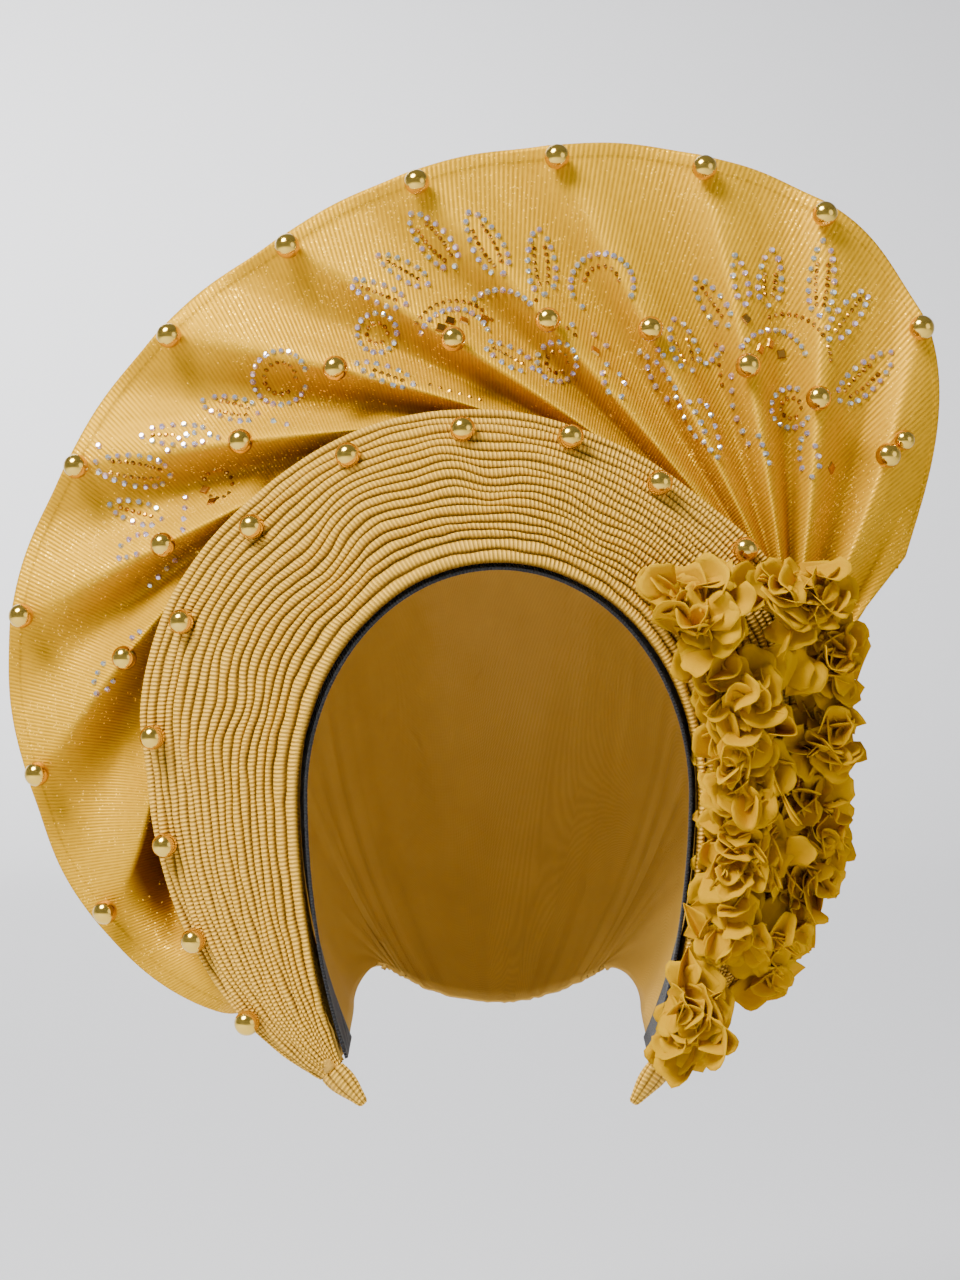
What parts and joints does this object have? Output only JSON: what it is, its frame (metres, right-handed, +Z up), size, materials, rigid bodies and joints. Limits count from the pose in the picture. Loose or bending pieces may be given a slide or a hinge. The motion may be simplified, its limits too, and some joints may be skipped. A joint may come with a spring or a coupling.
{
  "type": "tied gele head tie",
  "caption": "Ready-tied head wrap with a pleated band round the face, a wide folded fan, gold beads and a cluster of chiffon flowers.",
  "frame": {"origin": "inside top of the crown cap, where the head touches it", "axes": "+Z up, -Y the way the wearer looks, +X the side with the flowers"},
  "size_m": [0.3393, 0.1776, 0.3424],
  "materials": {
    "fan_cloth": "ribbed gold cloth with a light lurex sparkle",
    "pleated_cloth": "tightly pleated ribbed gold cloth",
    "plain_cloth": "plain woven gold cloth",
    "stretch_band": "matt black stretch band",
    "gold_bead": "polished gold plating",
    "chiffon": "thin mustard chiffon"
  },
  "bodies": {
    "root": {"face_band": "pleated_cloth", "fan": "fan_cloth", "crown_cap": "plain_cloth", "inner_band": "stretch_band", "left_end_cuff": "pleated_cloth", "right_end_cuff": "pleated_cloth", "side_bead": "gold_bead", "rim_bead_01": "gold_bead", "band_bead_01": "gold_bead", "rim_bead_02": "gold_bead", "band_bead_02": "gold_bead", "fold_bead_02": "gold_bead", "rim_bead_03": "gold_bead", "band_bead_03": "gold_bead", "fold_bead_03": "gold_bead", "rim_bead_04": "gold_bead", "band_bead_04": "gold_bead", "fold_bead_04": "gold_bead", "rim_bead_05": "gold_bead", "band_bead_05": "gold_bead", "fold_bead_05": "gold_bead", "rim_bead_06": "gold_bead", "band_bead_06": "gold_bead", "fold_bead_06": "gold_bead", "rim_bead_07": "gold_bead", "band_bead_07": "gold_bead", "fold_bead_07": "gold_bead", "rim_bead_08": "gold_bead", "band_bead_08": "gold_bead", "fold_bead_08": "gold_bead", "rim_bead_09": "gold_bead", "band_bead_09": "gold_bead", "fold_bead_09": "gold_bead", "rim_bead_10": "gold_bead", "band_bead_10": "gold_bead", "fold_bead_10": "gold_bead", "rim_bead_11": "gold_bead", "band_bead_11": "gold_bead", "fold_bead_11": "gold_bead", "flower_01": "chiffon", "flower_02": "chiffon", "flower_03": "chiffon", "flower_04": "chiffon", "flower_05": "chiffon", "flower_06": "chiffon", "flower_07": "chiffon", "flower_08": "chiffon", "flower_09": "chiffon", "flower_10": "chiffon", "flower_11": "chiffon", "flower_12": "chiffon"}
  },
  "joints": []
}
